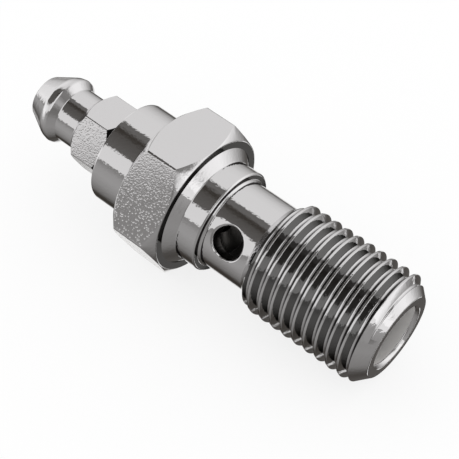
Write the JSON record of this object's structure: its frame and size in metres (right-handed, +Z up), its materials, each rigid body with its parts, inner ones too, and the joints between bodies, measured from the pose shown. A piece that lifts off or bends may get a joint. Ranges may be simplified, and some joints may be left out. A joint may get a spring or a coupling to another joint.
{
  "type": "banjo bolt",
  "caption": "Hexagon-head banjo bolt with collar, washer seat, cross-drilled relief and bored fine thread, carrying a barbed bleed screw in its head.",
  "frame": {"origin": "centre of the washer seat on the bolt axis, with the part lying at rest", "axes": "+Z up; the bolt axis lies in the XZ plane and runs towards +X, thread end down by 4.1 degrees, so that the head's lower flat and the end of the thread touch the surface"},
  "size_m": [0.0364, 0.0138, 0.0123],
  "materials": {
    "bolt_plating": "bright plated steel, polished turned faces and finely pitted flats",
    "bleed_screw_plating": "bright plated steel, polished turned faces and pitted flats"
  },
  "bodies": {
    "bolt": {"banjo_bolt": "bolt_plating"},
    "bleeder": {"bleed_screw": "bleed_screw_plating"}
  },
  "joints": [
    {"name": "bleed_screw_turn", "type": "hinge", "parent": "bolt", "child": "bleeder", "pos_m": [-0.00798, 0, 0.00057], "axis": [-0.9974, 0, 0.0715], "range_deg": [0, 360]}
  ]
}
